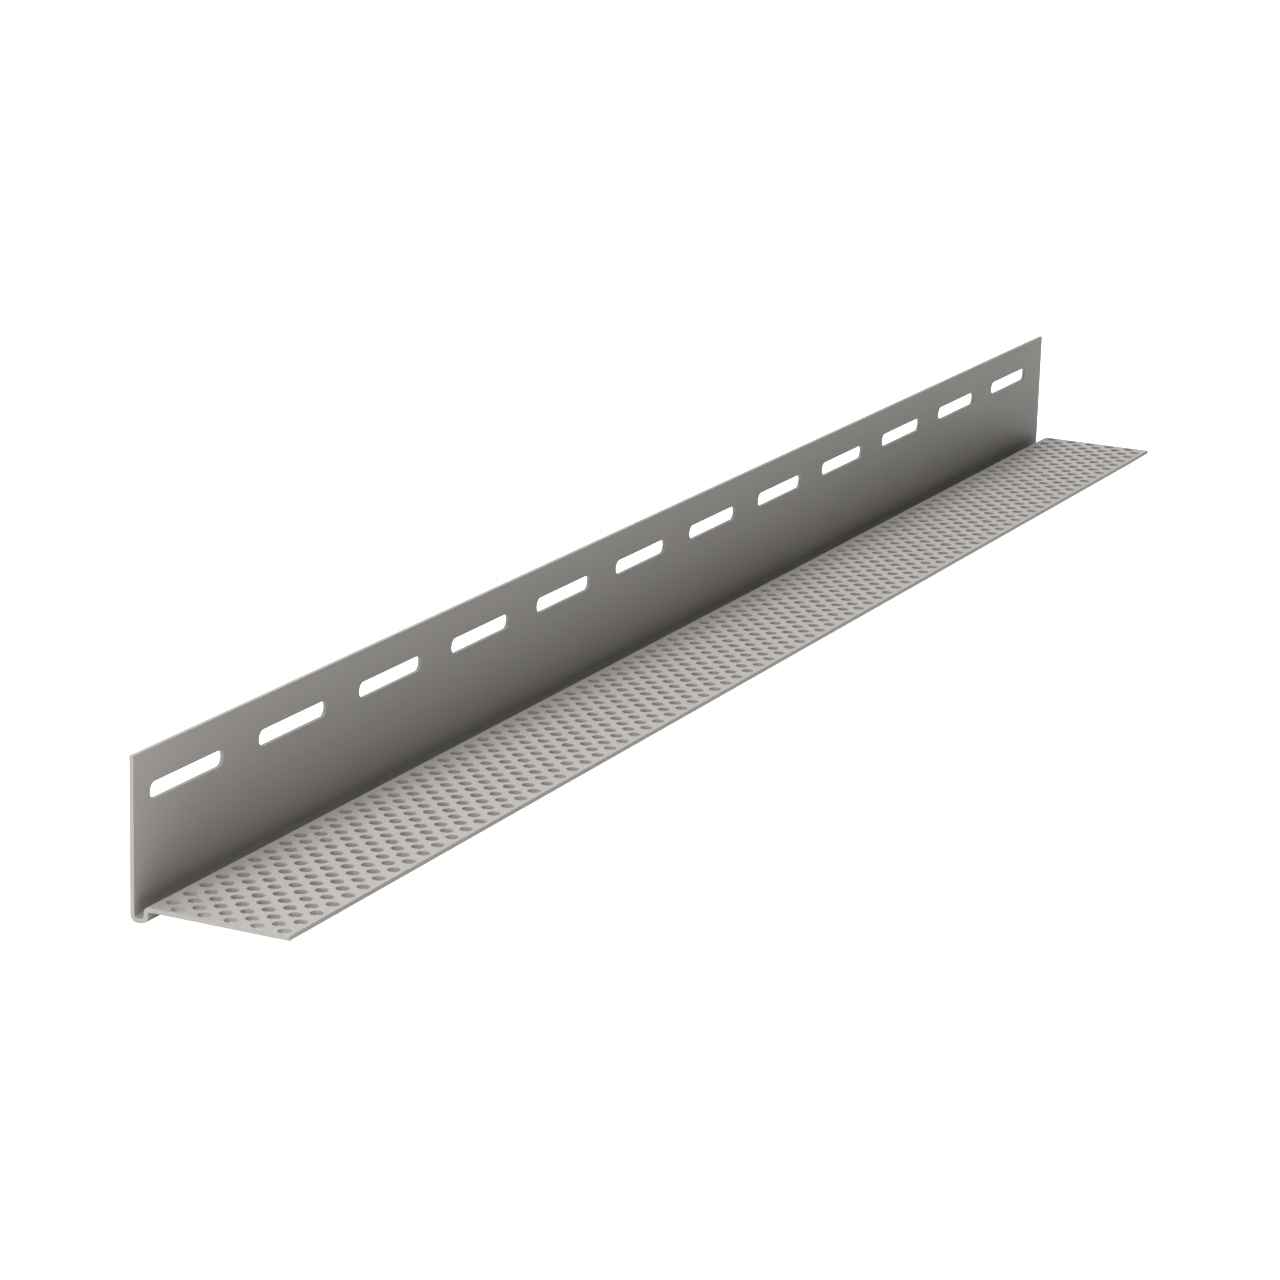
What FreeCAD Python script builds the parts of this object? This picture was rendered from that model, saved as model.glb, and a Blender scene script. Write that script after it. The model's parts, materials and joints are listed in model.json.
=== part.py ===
import FreeCAD, Part
import math
import os

# Ventilation strip for the foot of a ventilated wall, in millimetres.
# One wall of even thickness is folded in four runs: a slotted leg that stands against
# the wall, a small groove at its foot where water drips off, and a perforated leg that
# reaches forward across the air gap.
# X runs along the strip, Y points back into the wall and Z points up.
# The origin is on the back face at mid-length, level with the top of the perforated leg.

# The piece as a whole
LENGTH = 606.6
WALL = 1.2
PERFORATED_LEG_REACH = 44.8
SLOTTED_LEG_HEIGHT = 37.65

# The drip groove, measured inside
GROOVE_DEPTH = 3.3
GROOVE_FLOOR_WIDTH = 2.6
GROOVE_MOUTH_WIDTH = 2.75

# Rounding inside each bend: at the back and the front of the groove's floor, and where the
# groove's front wall turns into the perforated leg. Outside, a bend has the wall added.
GROOVE_BACK_BEND_RADIUS = 0.7
GROOVE_FRONT_BEND_RADIUS = 1.0
LEG_BEND_RADIUS = 0.2

# Rounding along the two free edges
FREE_EDGE_RADIUS = 0.1

# Long slots for the fixings. The first is centred at the last distance here from the left
# end, and the last one as far or a little further from the right end.
SLOT_LENGTH = 33.3
SLOT_WIDTH = 4.3
SLOT_PITCH = 50.0
SLOT_LINE_BELOW_TOP = 11.05
SLOT_CENTRE_FROM_END = 24.0

# Perforation: rows of small holes, each row half a pitch along from the one before it.
# The first row and the first holes lie at their distance from the back face and the left
# end, and the last ones at their distance from the other edges or up to a pitch further in.
HOLE_DIAMETER = 3.45
HOLE_PITCH = 7.467
FIRST_ROW_FROM_BACK = 8.3
LAST_ROW_FROM_FRONT = 2.8
HOLE_FROM_END = 2.64

# A punched hole is drawn as a regular outline with this many corners and the open area
# of the round hole. A larger number draws it rounder and makes a heavier model.
HOLE_CORNERS = 4

# How far a cutting tool stands out past both faces of the wall
PUNCH_OVERRUN = 1.0

OUTPUT_FOLDER = "parts"
NODE = "ventilation_strip"

FULL_TURN = 2 * math.pi
ROW_SPACING = HOLE_PITCH / 2


def places_along(first, last, pitch):
    """Even places from first on, one pitch apart, as many as fit up to last."""
    count = math.floor((last - first) / pitch) + 1
    return [first + step * pitch for step in range(count)]


def rounded_face(corners):
    """A flat face from (point, radius) corners, with a tangent arc at each rounded one."""
    edges = []
    entries = []
    for index, (point, radius) in enumerate(corners):
        before = corners[index - 1][0] - point
        after = corners[(index + 1) % len(corners)][0] - point
        before.normalize()
        after.normalize()
        half_angle = before.getAngle(after) / 2
        middle = before + after
        middle.normalize()
        tangent_length = radius / math.tan(half_angle)
        arc_start = point + before * tangent_length
        arc_end = point + after * tangent_length
        arc_middle = point + middle * (radius / math.sin(half_angle) - radius)
        entries.append((arc_start, arc_middle, arc_end, radius))
    for index, (arc_start, arc_middle, arc_end, radius) in enumerate(entries):
        if radius > 0:
            edges.append(Part.Arc(arc_start, arc_middle, arc_end).toShape())
        next_start = entries[(index + 1) % len(entries)][0]
        edges.append(Part.LineSegment(arc_end, next_start).toShape())
    return Part.Face(Part.Wire(edges))


def wall_side(path, bend_radii, distance):
    """The corners of one side of the wall, at a signed distance from its middle line."""
    normals = []
    for start, end in zip(path, path[1:]):
        run = end - start
        run.normalize()
        normals.append(FreeCAD.Vector(0, -run.z, run.y))
    corners = [(path[0] + normals[0] * distance, FREE_EDGE_RADIUS)]
    for point, inside_radius, before, after in zip(path[1:], bend_radii, normals, normals[1:]):
        shift = (before + after) * (distance / (1 + before.dot(after)))
        turn = before.cross(after).x
        inside_of_bend = turn * distance > 0
        radius = inside_radius if inside_of_bend else inside_radius + WALL
        corners.append((point + shift, radius))
    corners.append((path[-1] + normals[-1] * distance, FREE_EDGE_RADIUS))
    return corners


def folded_wall():
    """The plain strip: its section, drawn at the left end, run along the whole length."""
    half_wall = WALL / 2
    left_end = -LENGTH / 2
    floor_middle = -GROOVE_DEPTH - half_wall
    front_wall_foot = -(WALL + GROOVE_FLOOR_WIDTH + half_wall)
    front_wall_top = -(WALL + GROOVE_MOUTH_WIDTH + half_wall)
    path = [
        FreeCAD.Vector(left_end, -half_wall, SLOTTED_LEG_HEIGHT),
        FreeCAD.Vector(left_end, -half_wall, floor_middle),
        FreeCAD.Vector(left_end, front_wall_foot, floor_middle),
        FreeCAD.Vector(left_end, front_wall_top, -half_wall),
        FreeCAD.Vector(left_end, -PERFORATED_LEG_REACH, -half_wall),
    ]
    bend_radii = [GROOVE_BACK_BEND_RADIUS, GROOVE_FRONT_BEND_RADIUS, LEG_BEND_RADIUS]
    one_side = wall_side(path, bend_radii, half_wall)
    other_side = wall_side(path, bend_radii, -half_wall)
    section = rounded_face(one_side + other_side[::-1])
    return section.extrude(FreeCAD.Vector(LENGTH, 0, 0))


def slot_punch(centre_x):
    """A cutter for one slot: a bar with full round ends, through the slotted leg."""
    end_radius = SLOT_WIDTH / 2
    straight_half = SLOT_LENGTH / 2 - end_radius
    y = -WALL - PUNCH_OVERRUN
    z = SLOTTED_LEG_HEIGHT - SLOT_LINE_BELOW_TOP
    left = centre_x - straight_half
    right = centre_x + straight_half
    low = z - end_radius
    high = z + end_radius
    round_left = Part.Arc(
        FreeCAD.Vector(left, y, high),
        FreeCAD.Vector(left - end_radius, y, z),
        FreeCAD.Vector(left, y, low),
    )
    lower_side = Part.LineSegment(FreeCAD.Vector(left, y, low), FreeCAD.Vector(right, y, low))
    round_right = Part.Arc(
        FreeCAD.Vector(right, y, low),
        FreeCAD.Vector(right + end_radius, y, z),
        FreeCAD.Vector(right, y, high),
    )
    upper_side = Part.LineSegment(FreeCAD.Vector(right, y, high), FreeCAD.Vector(left, y, high))
    curves = [round_left, lower_side, round_right, upper_side]
    outline = Part.Wire([curve.toShape() for curve in curves])
    through = FreeCAD.Vector(0, WALL + 2 * PUNCH_OVERRUN, 0)
    return Part.Face(outline).extrude(through)


def hole_punch(x, y):
    """A cutter for one hole, with corners on the row's line and a round hole's open area."""
    open_area = math.pi * (HOLE_DIAMETER / 2) ** 2
    corner_angle = FULL_TURN / HOLE_CORNERS
    corner_radius = math.sqrt(2 * open_area / (HOLE_CORNERS * math.sin(corner_angle)))
    z = -WALL - PUNCH_OVERRUN
    corners = []
    for corner in range(HOLE_CORNERS):
        angle = corner * corner_angle
        corner_x = x + corner_radius * math.cos(angle)
        corner_y = y + corner_radius * math.sin(angle)
        corners.append(FreeCAD.Vector(corner_x, corner_y, z))
    outline = Part.makePolygon(corners + corners[:1])
    through = FreeCAD.Vector(0, 0, WALL + 2 * PUNCH_OVERRUN)
    return Part.Face(outline).extrude(through)


def slot_punches():
    """Cutters for the row of slots, as many as fit between the ends."""
    last_place = LENGTH / 2 - SLOT_CENTRE_FROM_END
    places = places_along(SLOT_CENTRE_FROM_END - LENGTH / 2, last_place, SLOT_PITCH)
    return [slot_punch(x) for x in places]


def hole_punches():
    """Cutters for the perforation, row by row from the groove to the front edge."""
    punches = []
    last_row = PERFORATED_LEG_REACH - LAST_ROW_FROM_FRONT
    rows = places_along(FIRST_ROW_FROM_BACK, last_row, ROW_SPACING)
    for index, row in enumerate(rows):
        stagger = 0 if index % 2 else HOLE_PITCH / 2
        first_hole = HOLE_FROM_END + stagger - LENGTH / 2
        last_hole = LENGTH / 2 - HOLE_FROM_END
        for x in places_along(first_hole, last_hole, HOLE_PITCH):
            punches.append(hole_punch(x, -row))
    return punches


def ventilation_strip():
    """The finished piece: the folded wall with its slots and its perforation cut out."""
    cutters = Part.makeCompound(slot_punches() + hole_punches())
    return folded_wall().cut(cutters)


def main():
    """Build the strip and write its file."""
    os.makedirs(OUTPUT_FOLDER, exist_ok=True)
    strip = ventilation_strip().Solids[0]
    strip.exportStep(os.path.join(OUTPUT_FOLDER, NODE + ".step"))
    print(NODE, "valid", strip.isValid(), "volume", round(strip.Volume, 1))


main()
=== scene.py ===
import json
import math

import bmesh
import bpy
from mathutils import Matrix, Vector


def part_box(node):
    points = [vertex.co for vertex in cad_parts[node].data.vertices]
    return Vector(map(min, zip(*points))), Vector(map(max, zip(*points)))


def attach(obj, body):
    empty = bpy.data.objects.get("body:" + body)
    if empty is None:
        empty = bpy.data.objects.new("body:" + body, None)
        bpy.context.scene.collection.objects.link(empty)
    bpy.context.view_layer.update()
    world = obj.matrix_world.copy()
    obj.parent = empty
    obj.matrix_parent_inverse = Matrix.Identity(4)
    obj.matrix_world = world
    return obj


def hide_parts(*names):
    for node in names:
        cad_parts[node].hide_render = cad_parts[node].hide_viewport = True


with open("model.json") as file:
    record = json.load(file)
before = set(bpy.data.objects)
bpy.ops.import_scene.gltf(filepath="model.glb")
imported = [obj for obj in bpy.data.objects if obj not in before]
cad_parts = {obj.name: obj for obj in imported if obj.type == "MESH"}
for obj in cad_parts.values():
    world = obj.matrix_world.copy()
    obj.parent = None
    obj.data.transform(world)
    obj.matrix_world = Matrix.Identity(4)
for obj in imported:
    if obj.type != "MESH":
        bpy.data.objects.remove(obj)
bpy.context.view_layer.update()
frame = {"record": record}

MM = 0.001
NODE = "ventilation_strip"

# The strip's outer limits, from the frame: the back face lies at y = 0 and the top of the
# perforated leg at z = 0
low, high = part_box(NODE)
LEFT = low.x
RIGHT = high.x
FRONT = low.y
FOOT = low.z
TOP = high.z

# The section of the extruded wall, with the radii on its front side: inside the two bends of
# the groove's floor, and outside the bend into the perforated leg
WALL = 1.2 * MM
GROOVE_BACK_RADIUS = 0.7 * MM
GROOVE_FRONT_RADIUS = 1.0 * MM
LEG_BEND_RADIUS = 0.2 * MM + WALL
GROOVE_FLOOR_WIDTH = 2.6 * MM
GROOVE_MOUTH_WIDTH = 2.75 * MM
GROOVE_DEPTH = -FOOT - WALL
LEAN = math.atan((GROOVE_MOUTH_WIDTH - GROOVE_FLOOR_WIDTH) / GROOVE_DEPTH)
SQUARE_TURN = math.pi / 2
BEND_STEPS = 8

# The punched pattern of round holes
HOLE_RADIUS = 3.45 * MM / 2
HOLE_PITCH = 7.467 * MM
ROW_SPACING = HOLE_PITCH / 2
FIRST_ROW_FROM_BACK = 8.3 * MM
LAST_ROW_FROM_FRONT = 2.8 * MM
HOLE_FROM_END = 2.64 * MM
HOLE_SIDES = 20
SLOT_SIDES = 30

# How the punch and the saw leave their edges. A punched hole is rounded on the side where
# the punch goes in, and crisp on the other.
HOLE_EDGE = 0.05 * MM
SLOT_EDGE = 0.06 * MM
INNER_EDGE_STEPS = 1
OUTLINE_EDGE = 0.08 * MM
OUTLINE_EDGE_STEPS = 2

# Where faces meet at more than this angle there is an edge, a face is flat when its normal
# follows an axis at least this closely, and points nearer than this are one point
SHARP_ANGLE = math.radians(40)
FLAT = 0.99999
WELD = 0.001 * MM

# The plastic's colour and sheen. Its lines, grain and clouds are random patterns, each with
# how fast it changes and how much of it goes into the tone, the roughness and the relief.
WARM_GREY = (157, 154, 150)
PLASTIC_ROUGHNESS = 0.46
PLASTIC_SHEEN = 0.25
DIE_LINE_STRETCH = (7.0, 900.0, 900.0)
DIE_LINE_TONE = 0.04
DIE_LINE_RELIEF = 0.7
GRAIN_SCALE = 4200.0
GRAIN_TONE = 0.05
GRAIN_ROUGHNESS = 0.12
GRAIN_RELIEF = 0.5
CLOUD_SCALE = 16.0
CLOUD_TONE = 0.06
CLOUD_ROUGHNESS = 0.1
RELIEF_HEIGHT = 0.05 * MM
RELIEF_STRENGTH = 0.35
PATTERN_MIDDLE = 0.5

# The floor's paper, with fibres in its roughness. Then how brightly it glows beside the strip, in
# a painted pool of light past its left end and in a painted shadow under it, how much brighter
# the camera sees it, and how softly the painted shadow and the painted light end at the strip's
# outline.
FLOOR_SIZE = 12.0
FLOOR_GREY = (0.3, 0.3, 0.3, 1.0)
FLOOR_SHEEN = 0.1
FLOOR_ROUGHNESS = 0.8
FIBRE_SCALE = 300.0
FIBRE_ROUGHNESS = 0.1
FLOOR_GLOW = 0.79
FLOOR_LEFT_PAINTED_LIGHT = 1.6
FLOOR_PAINTED_SHADOW_GLOW = 0.1
FLOOR_EXPOSURE = 0.95
PAINTED_LIGHT_AND_SHADOW_EDGE = 1 * MM

# The backdrop and the softboxes, which all shine on the strip's left end
BACKDROP_GLOW = 1.1
WHITE = (1.0, 1.0, 1.0, 1.0)
SOFTBOX_SIZE = 0.5
SOFTBOX_AIM = Vector((-0.3, 0.0, 0.0))

# The camera, at the photo's angle
CAMERA_PLACE = Vector((-1.07777, -0.51145, 0.3283))
CAMERA_AIM = Vector((-0.00654, 0.00947, -0.00621))
CAMERA_ROLL = math.radians(1.661)
CAMERA_LENS_MM = 113.53
CAMERA_SENSOR_MM = 36


def linear(red, green, blue):
    """A screen colour from 0 to 255 as the linear colour that the shaders take."""
    shares = [value / 255 for value in (red, green, blue)]
    return [s / 12.92 if s <= 0.04045 else ((s + 0.055) / 1.055) ** 2.4 for s in shares]


class Field:
    """A value that varies over a surface. Plain arithmetic on it adds Math nodes."""

    def __init__(self, finish, socket):
        self.finish = finish
        self.socket = socket

    def joined(self, operation, first, second):
        return self.finish.node("ShaderNodeMath", {"operation": operation}, {0: first, 1: second})

    def __add__(self, other):
        return self.joined("ADD", self, other)

    def __radd__(self, other):
        return self.joined("ADD", other, self)

    def __sub__(self, other):
        return self.joined("SUBTRACT", self, other)

    def __rsub__(self, other):
        return self.joined("SUBTRACT", other, self)

    def __mul__(self, other):
        return self.joined("MULTIPLY", self, other)

    def __rmul__(self, other):
        return self.joined("MULTIPLY", other, self)

    def __abs__(self):
        return self.joined("ABSOLUTE", self, 0.0)

    def at_least(self, other):
        return self.joined("MAXIMUM", self, other)


class Finish:
    """The nodes of a material or of the surroundings. One method adds and wires any node."""

    def __init__(self, owner, surface_kind="ShaderNodeOutputMaterial"):
        owner.use_nodes = True
        self.tree = owner.node_tree
        self.tree.nodes.clear()
        self.surface = self.tree.nodes.new(surface_kind).inputs["Surface"]

    def node(self, kind, settings=None, inputs=None, output=0):
        made = self.tree.nodes.new(kind)
        for key, value in (settings or {}).items():
            setattr(made, key, value)
        for key, value in (inputs or {}).items():
            if isinstance(value, Field):
                self.tree.links.new(value.socket, made.inputs[key])
            else:
                made.inputs[key].default_value = value
        return Field(self, made.outputs[output])

    def pattern(self, place, scale, detail=2.0):
        """A soft random pattern, which varies around PATTERN_MIDDLE."""
        return self.node(
            "ShaderNodeTexNoise",
            inputs={"Vector": place, "Scale": scale, "Detail": detail},
        )

    def soft_step(self, value, low_end, high_end):
        """Rises smoothly from 0 to 1 between two values."""
        return self.node(
            "ShaderNodeMapRange",
            {"interpolation_type": "SMOOTHSTEP"},
            {"Value": value, "From Min": low_end, "From Max": high_end},
        )

    def show(self, shader):
        self.tree.links.new(shader.socket, self.surface)


def strip_plastic():
    """Rigid extruded plastic: matt warm grey, with faint lines along it and a fine grain."""
    plastic = bpy.data.materials.new("warm_grey_rigid_plastic")
    finish = Finish(plastic)
    place = finish.node("ShaderNodeTexCoord", output="Object")
    stretched = finish.node(
        "ShaderNodeMapping", inputs={"Vector": place, "Scale": DIE_LINE_STRETCH}
    )
    die_lines = finish.pattern(stretched, scale=1.0, detail=3.0)
    grain = finish.pattern(place, GRAIN_SCALE)
    clouds = finish.pattern(place, CLOUD_SCALE)
    tone = (
        1
        + (clouds - PATTERN_MIDDLE) * CLOUD_TONE
        + (die_lines - PATTERN_MIDDLE) * DIE_LINE_TONE
        + (grain - PATTERN_MIDDLE) * GRAIN_TONE
    )
    colour = finish.node(
        "ShaderNodeVectorMath",
        {"operation": "SCALE"},
        {0: linear(*WARM_GREY), "Scale": tone},
    )
    roughness = (
        PLASTIC_ROUGHNESS
        + (grain - PATTERN_MIDDLE) * GRAIN_ROUGHNESS
        + (clouds - PATTERN_MIDDLE) * CLOUD_ROUGHNESS
    )
    relief = finish.node(
        "ShaderNodeBump",
        inputs={
            "Strength": RELIEF_STRENGTH,
            "Distance": RELIEF_HEIGHT,
            "Height": die_lines * DIE_LINE_RELIEF + grain * GRAIN_RELIEF,
        },
    )
    shader = finish.node(
        "ShaderNodeBsdfPrincipled",
        inputs={
            "Base Color": colour,
            "Roughness": roughness,
            "Normal": relief,
            "Specular IOR Level": PLASTIC_SHEEN,
        },
    )
    finish.show(shader)
    return plastic


def floor_glow_with_painted_light(finish, place):
    """How brightly each spot of the floor shines: a painted shadow under the strip, and a painted
    pool of light past its left end.
    """
    along = finish.node("ShaderNodeSeparateXYZ", inputs={"Vector": place}, output="X")
    across = finish.node("ShaderNodeSeparateXYZ", inputs={"Vector": place}, output="Y")
    half_reach = -FRONT / 2
    past_ends = finish.soft_step(abs(along), RIGHT - PAINTED_LIGHT_AND_SHADOW_EDGE, RIGHT + PAINTED_LIGHT_AND_SHADOW_EDGE)
    past_sides = finish.soft_step(
        abs(across + half_reach), half_reach - PAINTED_LIGHT_AND_SHADOW_EDGE, half_reach + PAINTED_LIGHT_AND_SHADOW_EDGE
    )
    past_left = finish.soft_step(-1 * along, -LEFT - PAINTED_LIGHT_AND_SHADOW_EDGE, -LEFT + PAINTED_LIGHT_AND_SHADOW_EDGE)
    seen = finish.node("ShaderNodeLightPath", output="Is Camera Ray")
    # Under the strip the glow is dimmed as a painted shadow, and past its left end it is raised
    # as a painted pool of light.
    return (
        FLOOR_PAINTED_SHADOW_GLOW
        + past_ends.at_least(past_sides) * (FLOOR_GLOW - FLOOR_PAINTED_SHADOW_GLOW)
        + past_left * (FLOOR_LEFT_PAINTED_LIGHT - FLOOR_GLOW)
        + seen * FLOOR_EXPOSURE
    )


def studio_sheet():
    """A pale sheet that glows as a light table does, with a painted shadow under the strip and a
    painted pool of light past its left end.

    It looks brighter than the light it gives, as in a photograph that is exposed for a grey
    object."""
    sheet = bpy.data.materials.new("pale_studio_sheet")
    finish = Finish(sheet)
    place = finish.node("ShaderNodeTexCoord", output="Object")
    glow = floor_glow_with_painted_light(finish, place)
    glow_colour = finish.node(
        "ShaderNodeCombineColor", inputs={"Red": glow, "Green": glow, "Blue": glow}
    )
    fibres = finish.pattern(place, FIBRE_SCALE)
    shader = finish.node(
        "ShaderNodeBsdfPrincipled",
        inputs={
            "Base Color": FLOOR_GREY,
            "Roughness": FLOOR_ROUGHNESS + (fibres - PATTERN_MIDDLE) * FIBRE_ROUGHNESS,
            "Specular IOR Level": FLOOR_SHEEN,
            "Emission Color": glow_colour,
            "Emission Strength": 1.0,
        },
    )
    finish.show(shader)
    return sheet


class Section:
    """The front side of the wall's section, drawn from the slotted leg round the groove."""

    def __init__(self, bm, y, z, heading):
        self.bm = bm
        self.tip = bm.verts.new((LEFT, y, z))
        self.heading = heading

    def direction(self, turned=0.0):
        angle = self.heading + turned
        return Vector((0, math.cos(angle), math.sin(angle)))

    def run(self, length):
        moved = bmesh.ops.extrude_vert_indiv(self.bm, verts=[self.tip])["verts"]
        bmesh.ops.translate(self.bm, verts=moved, vec=self.direction() * length)
        self.tip = moved[0]

    def bend(self, radius, turn):
        side = math.copysign(SQUARE_TURN, turn)
        centre = self.tip.co + self.direction(side) * radius
        spun = bmesh.ops.spin(
            self.bm,
            geom=[self.tip],
            cent=centre,
            axis=(1, 0, 0),
            angle=turn,
            steps=BEND_STEPS,
        )
        self.tip = only_verts(spun["geom_last"])[0]
        self.heading += turn


def only_verts(geometry):
    return [item for item in geometry if isinstance(item, bmesh.types.BMVert)]


def groove(bm):
    """The drip groove between the two legs. It returns where each leg's flat part starts."""
    leg_end = FOOT + WALL + GROOVE_BACK_RADIUS
    front_turn = SQUARE_TURN - LEAN
    bend_share = math.tan(front_turn / 2)
    # The front wall leans, so the corner of the floor lies a little past the stated width
    floor_width = GROOVE_FLOOR_WIDTH + WALL / 2 * (1 - bend_share)
    section = Section(bm, -WALL, leg_end, -SQUARE_TURN)
    section.bend(GROOVE_BACK_RADIUS, -SQUARE_TURN)
    section.run(floor_width - GROOVE_BACK_RADIUS - GROOVE_FRONT_RADIUS * bend_share)
    section.bend(GROOVE_FRONT_RADIUS, -front_turn)
    rise = -section.tip.co.z - LEG_BEND_RADIUS * (1 - math.sin(LEAN))
    section.run(rise / math.cos(LEAN))
    section.bend(LEG_BEND_RADIUS, front_turn)
    shelf_start = section.tip.co.y
    swept = bmesh.ops.extrude_edge_only(bm, edges=bm.edges[:])
    bmesh.ops.translate(bm, verts=only_verts(swept["geom"]), vec=(RIGHT - LEFT, 0, 0))
    return leg_end, shelf_start


def punched_plate(bm, plane, near, far, openings):
    """A flat face with openings, as long as the strip, from y = near to y = far of a plane."""
    middle = Matrix.Translation(((LEFT + RIGHT) / 2, (near + far) / 2, 0))
    size = Matrix.Diagonal(((RIGHT - LEFT) / 2, (far - near) / 2, 1, 1))
    turned = Matrix.Rotation(math.pi / 4, 4, "Z")
    # A circle of four corners, turned and stretched, is the plate's outline
    corners = bmesh.ops.create_circle(
        bm, segments=4, radius=math.sqrt(2), matrix=plane @ middle @ size @ turned
    )["verts"]
    on_outlines = {vert for outline in [corners, *openings] for vert in outline}
    # Taken in the mesh's own order, the edges are filled in the same way on each run
    edges = [edge for edge in bm.edges if edge.verts[0] in on_outlines]
    bmesh.ops.triangle_fill(bm, use_beauty=True, edges=edges, normal=plane.col[2].to_3d())


def round_hole(bm, x, y):
    circle = bmesh.ops.create_circle(
        bm, segments=HOLE_SIDES, radius=HOLE_RADIUS, matrix=Matrix.Translation((x, y, 0))
    )
    return circle["verts"]


def slot_opening(bm, plane, x, height, length, radius):
    """A long slot: a circle whose right half is drawn out, with its straight sides level."""
    straight = length - 2 * radius
    place = plane @ Matrix.Translation((x - straight / 2, height, 0))
    half_step = math.pi / SLOT_SIDES
    level = Matrix.Rotation(half_step, 4, "Z")
    verts = bmesh.ops.create_circle(
        bm, segments=SLOT_SIDES, radius=radius / math.cos(half_step), matrix=place @ level
    )["verts"]
    right_half = [vert for vert in verts if vert.co.x > x - straight / 2]
    bmesh.ops.translate(bm, verts=right_half, vec=(straight, 0, 0))
    return verts


def hole_places():
    """Centres of the staggered holes, row by row from the groove to the front edge."""
    row = FIRST_ROW_FROM_BACK
    stagger = HOLE_PITCH / 2
    while row <= -FRONT - LAST_ROW_FROM_FRONT:
        x = LEFT + HOLE_FROM_END + stagger
        while x <= RIGHT - HOLE_FROM_END:
            yield x, -row
            x += HOLE_PITCH
        row += ROW_SPACING
        stagger = HOLE_PITCH / 2 - stagger


def slot_places():
    """Centre, length and end radius of each fixing slot, from the record's mounts."""
    for mount in frame["record"]["mounts"]:
        if mount["kind"] == "bolt_pattern":
            dims = mount["dims"]
            for side in (-1, 1):
                x = mount["pos_m"][0] + side * dims["spacing_x_mm"] * MM / 2
                yield x, mount["pos_m"][2], dims["slot_length_mm"] * MM, dims["hole_r_mm"] * MM


def drawn_front_side(bm):
    """The strip's front and upper side, one sheet. It returns where the perforated leg starts."""
    leg_end, shelf_start = groove(bm)

    upright = Matrix.Translation((0, -WALL, 0)) @ Matrix.Rotation(SQUARE_TURN, 4, "X")
    slots = [slot_opening(bm, upright, *slot) for slot in slot_places()]
    punched_plate(bm, upright, leg_end, TOP, slots)

    level = Matrix.Identity(4)
    holes = [round_hole(bm, x, y) for x, y in hole_places()]
    punched_plate(bm, level, FRONT, shelf_start, holes)

    bmesh.ops.remove_doubles(bm, verts=bm.verts[:], dist=WELD)
    bmesh.ops.recalc_face_normals(bm, faces=bm.faces[:])
    shelf_face = next(face for face in bm.faces if face.calc_center_median().y < shelf_start)
    if shelf_face.normal.z < 0:
        bmesh.ops.reverse_faces(bm, faces=bm.faces[:])
    return shelf_start


def is_inside(edge, low_corner, high_corner):
    """True where both ends of an edge lie inside a box, clear of its sides."""
    return all(
        low_side + WELD < part < high_side - WELD
        for vert in edge.verts
        for part, low_side, high_side in zip(vert.co, low_corner, high_corner)
    )


def round_off(bm, edges, width, steps):
    bmesh.ops.bevel(
        bm,
        geom=edges,
        offset=width,
        offset_type="OFFSET",
        segments=steps,
        profile=0.5,
        affect="EDGES",
        material=-1,
        loop_slide=False,
    )


def finish_rims(bm, shelf_start):
    """Rounds each rim as the punch and the saw leave it, and keeps the holes' exit crisp."""
    punched_side = (LEFT, FRONT, -WALL / 2), (RIGHT, shelf_start, WALL)
    exit_side = (LEFT, FRONT, -2 * WALL), (RIGHT, shelf_start, -WALL / 2)
    slotted_leg = (LEFT, -2 * WALL, 0), (RIGHT, WALL, TOP)
    rims = [
        edge for edge in bm.edges if edge.is_manifold and edge.calc_face_angle() > SHARP_ANGLE
    ]
    hole_rims = [edge for edge in rims if is_inside(edge, *punched_side)]
    crisp_rims = [edge for edge in rims if is_inside(edge, *exit_side)]
    slot_rims = [edge for edge in rims if is_inside(edge, *slotted_leg)]
    inner_rims = set(hole_rims + crisp_rims + slot_rims)
    outline = [edge for edge in rims if edge not in inner_rims]
    round_off(bm, hole_rims, HOLE_EDGE, INNER_EDGE_STEPS)
    round_off(bm, slot_rims, SLOT_EDGE, INNER_EDGE_STEPS)
    round_off(bm, outline, OUTLINE_EDGE, OUTLINE_EDGE_STEPS)
    for edge in crisp_rims:
        edge.smooth = False


def lies_flat(face):
    """True on the two legs and the cut ends, and false on bends, rounded edges and holes."""
    return max(abs(part) for part in face.normal) > FLAT


def placed(bm, name, material):
    """Puts what was drawn in the scene, in one material."""
    mesh = bpy.data.meshes.new(name)
    bm.to_mesh(mesh)
    bm.free()
    mesh.materials.append(material)
    piece = bpy.data.objects.new(name, mesh)
    bpy.context.scene.collection.objects.link(piece)
    return piece


def ventilation_strip(plastic):
    """The whole strip: its front side is drawn, then given the wall's thickness."""
    bm = bmesh.new()
    shelf_start = drawn_front_side(bm)
    bmesh.ops.solidify(bm, geom=bm.faces[:], thickness=WALL)
    finish_rims(bm, shelf_start)
    for face in bm.faces:
        face.smooth = not lies_flat(face)
    strip = placed(bm, "punched_strip", plastic)
    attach(strip, "root")
    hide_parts(NODE)


def floor():
    """A large sheet of studio paper under the strip's foot."""
    bm = bmesh.new()
    bmesh.ops.create_grid(bm, x_segments=1, y_segments=1, size=FLOOR_SIZE / 2)
    bmesh.ops.translate(bm, verts=bm.verts[:], vec=(0, 0, FOOT))
    sheet = placed(bm, "studio_floor", studio_sheet())


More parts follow.
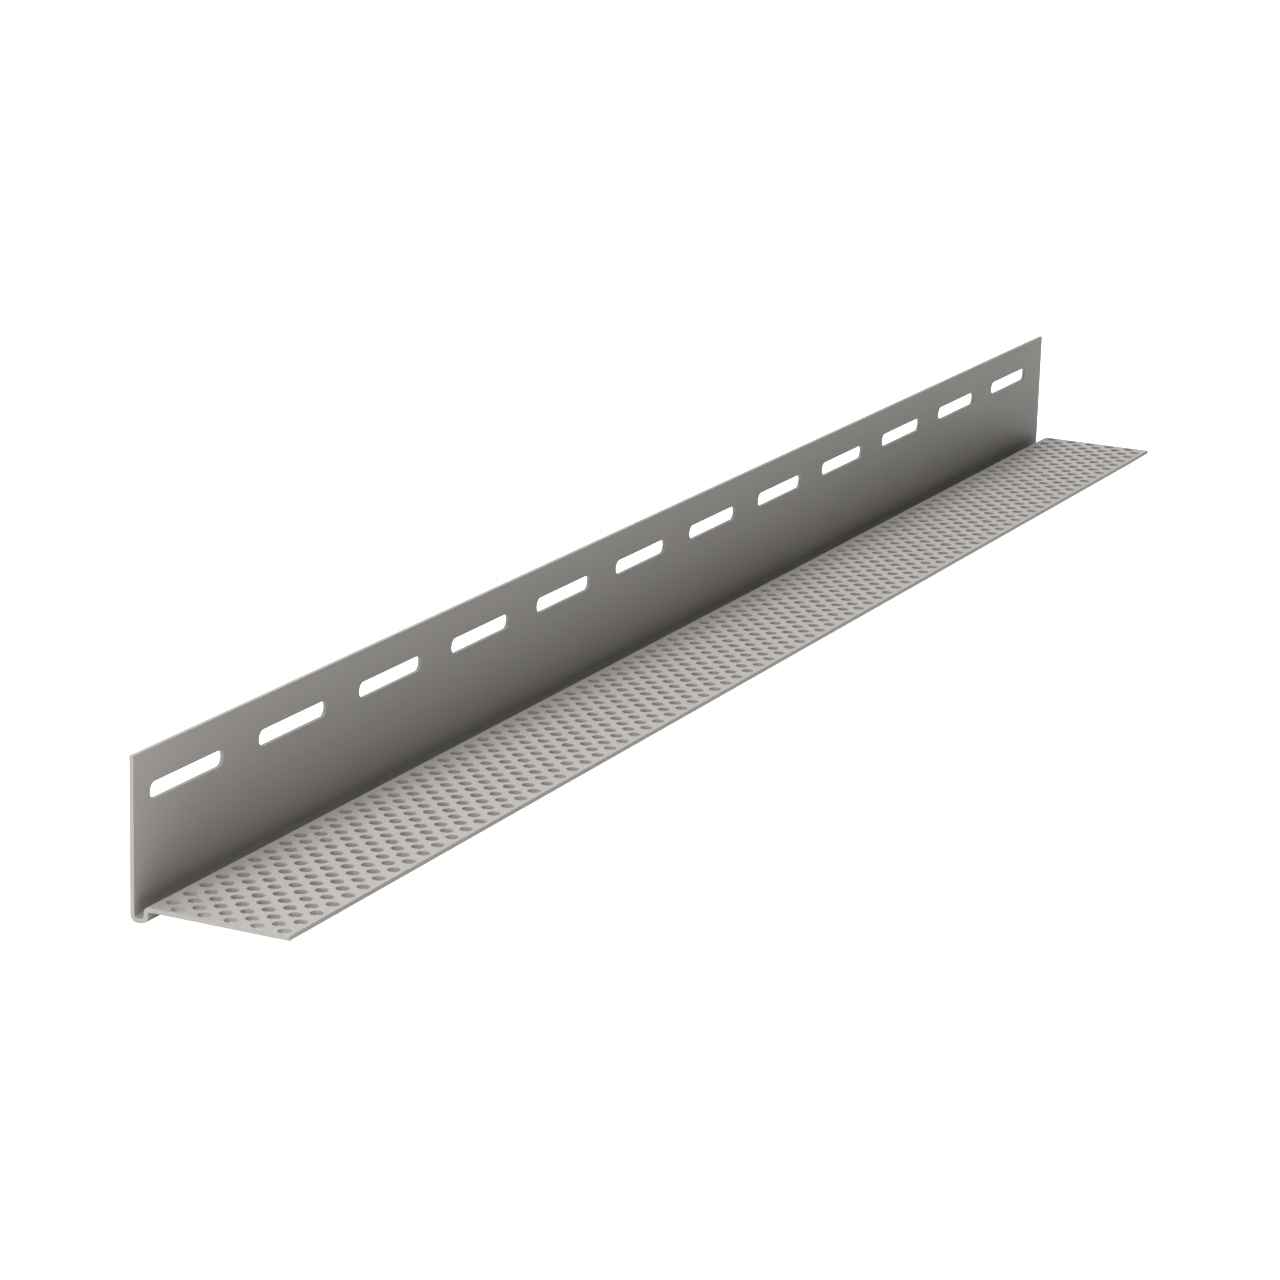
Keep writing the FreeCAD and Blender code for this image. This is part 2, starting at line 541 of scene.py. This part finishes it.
def hung(name, lamp, direction):
    """Puts a lamp in the scene, turned to shine in a direction."""
    stand = bpy.data.objects.new(name, lamp)
    stand.rotation_euler = direction.to_track_quat("-Z", "Y").to_euler()
    bpy.context.scene.collection.objects.link(stand)
    return stand


def softbox(name, place, watts):
    """A soft square lamp at a place, turned towards the strip's left end."""
    lamp = bpy.data.lights.new(name, "AREA")
    lamp.size = SOFTBOX_SIZE
    lamp.energy = watts
    stand = hung(name, lamp, SOFTBOX_AIM - Vector(place))
    stand.location = place


def wide_light(name, direction, spread, strength):
    """Even soft light, as from a bright stretch of ceiling, with its spread in degrees."""
    lamp = bpy.data.lights.new(name, "SUN")
    lamp.angle = math.radians(spread)
    lamp.energy = strength
    hung(name, lamp, Vector(direction))


def surroundings():
    """A pale backdrop that is seen beyond the floor and adds no light of its own."""
    world = bpy.data.worlds.new("studio")
    finish = Finish(world, "ShaderNodeOutputWorld")
    seen = finish.node("ShaderNodeLightPath", output="Is Camera Ray")
    backdrop = finish.node(
        "ShaderNodeBackground",
        inputs={"Color": WHITE, "Strength": seen * BACKDROP_GLOW},
    )
    finish.show(backdrop)
    bpy.context.scene.world = world


def lights():
    """Two softboxes past the strip's left end, and even light from above, behind and right."""
    softbox("left", place=(-1.0, 0.1, 0.7), watts=4.65)
    softbox("left_front", place=(-0.85, -0.45, 0.5), watts=1.65)
    wide_light("ceiling", direction=(0.0, 0.0, -1.0), spread=20, strength=1.68)
    wide_light("ceiling_back", direction=(0.0, -0.3, -0.95), spread=20, strength=1.35)
    wide_light("ceiling_right_back", direction=(-0.6, -0.35, -0.7), spread=60, strength=1.24)
    surroundings()
    bpy.context.scene.view_settings.view_transform = "Standard"


def camera():
    lens = bpy.data.cameras.new("camera")
    lens.lens = CAMERA_LENS_MM
    lens.sensor_width = CAMERA_SENSOR_MM
    stand = bpy.data.objects.new("camera", lens)
    stand.location = CAMERA_PLACE
    level = (CAMERA_AIM - CAMERA_PLACE).to_track_quat("-Z", "Y").to_matrix()
    stand.rotation_euler = (level @ Matrix.Rotation(CAMERA_ROLL, 3, "Z")).to_euler()
    bpy.context.scene.collection.objects.link(stand)
    bpy.context.scene.camera = stand


ventilation_strip(strip_plastic())
floor()
lights()
camera()
